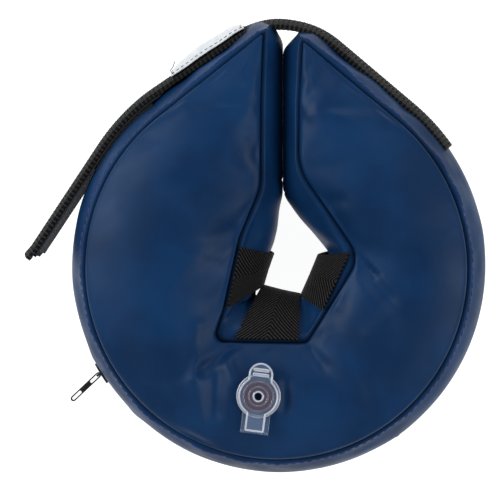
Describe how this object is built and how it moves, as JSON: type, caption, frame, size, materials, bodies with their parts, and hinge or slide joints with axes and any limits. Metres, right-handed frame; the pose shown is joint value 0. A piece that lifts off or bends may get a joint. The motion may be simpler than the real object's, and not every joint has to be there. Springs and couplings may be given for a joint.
{
  "type": "inflatable elizabethan collar",
  "caption": "Inflatable ring collar with a slit, a zipped cover over a bladder with a push-in valve, tape loops round the neck opening and a hook-and-loop strap.",
  "frame": {"origin": "centre of the round outer band, on the plane that the back panel rests on", "axes": "+Z out of the front panel, +Y along the slit towards the two ends"},
  "size_m": [0.1925, 0.1903, 0.0634],
  "materials": {
    "cover_fabric": "navy coated fabric, satin",
    "bladder_vinyl": "thin clear vinyl",
    "valve_vinyl": "soft clear vinyl",
    "loop_tape": "black herringbone tape",
    "webbing": "black ribbed webbing",
    "hook_tape": "fine black hook tape",
    "loop_pad": "black loop pile",
    "label": "white satin ribbon, blank",
    "zip_tape": "dark woven tape",
    "zip_coil": "dark nylon coil",
    "zip_metal": "black enamel"
  },
  "bodies": {
    "collar_body": {"front_panel": "cover_fabric", "back_panel": "cover_fabric", "outer_band": "cover_fabric", "neck_band": "cover_fabric", "end_gusset_left": "cover_fabric", "bladder": "bladder_vinyl", "loop_left": "loop_tape", "loop_bottom": "loop_tape", "loop_pad": "loop_pad", "zip_tape_upper": "zip_tape", "zip_tape_lower": "zip_tape", "zip_coil_upper": "zip_coil", "zip_coil_lower": "zip_coil", "zip_top_stops": "zip_metal", "zip_bottom_stop": "zip_metal", "valve_sleeve": "valve_vinyl"},
    "right_arm": {"front_panel_arm": "cover_fabric", "back_panel_arm": "cover_fabric", "outer_band_arm": "cover_fabric", "neck_band_arm": "cover_fabric", "end_gusset_right": "cover_fabric", "bladder_arm": "bladder_vinyl", "loop_right": "loop_tape", "strap_anchor": "webbing"},
    "strap": {"strap_free": "webbing", "hook_tape": "hook_tape", "strap_label": "label"},
    "slider": {"zip_slider": "zip_metal"},
    "pull": {"zip_pull": "zip_metal"},
    "stem": {"valve_stem": "valve_vinyl"},
    "cap": {"valve_cap": "valve_vinyl"},
    "flap": {"check_flap": "valve_vinyl"}
  },
  "joints": [
    {"name": "collar_open", "type": "hinge", "parent": "collar_body", "child": "right_arm", "pos_m": [0.07004, -0.04904, 0.03], "axis": [0, 0, -1], "range_deg": [0, 20], "stiffness_Nm_per_rad": 0.3},
    {"name": "strap_peel", "type": "hinge", "parent": "right_arm", "child": "strap", "pos_m": [0.00938, 0.10258, 0.03], "axis": [0, 0, -1], "range_deg": [0, 100]},
    {"name": "zip_slide", "type": "hinge", "parent": "collar_body", "child": "slider", "pos_m": [0, 0, 0.03], "axis": [0, 0, 1], "range_deg": [0, 89]},
    {"name": "zip_pull_turn", "type": "hinge", "parent": "slider", "child": "pull", "pos_m": [-0.0764, -0.04682, 0.03], "axis": [0, 0, 1], "range_deg": [-90, 70]},
    {"name": "valve_draw", "type": "slide", "parent": "collar_body", "child": "stem", "axis": [0, 0, 1], "range_m": [0, 0.006]},
    {"name": "cap_open", "type": "hinge", "parent": "stem", "child": "cap", "pos_m": [-0.00803, -0.06619, 0.0615], "axis": [0.9925, -0.1219, 0], "range_deg": [0, 150]},
    {"name": "flap_open", "type": "hinge", "parent": "stem", "child": "flap", "pos_m": [-0.00681, -0.05626, 0.0447], "axis": [-0.9925, 0.1219, 0], "range_deg": [0, 60], "stiffness_Nm_per_rad": 0.0001}
  ]
}
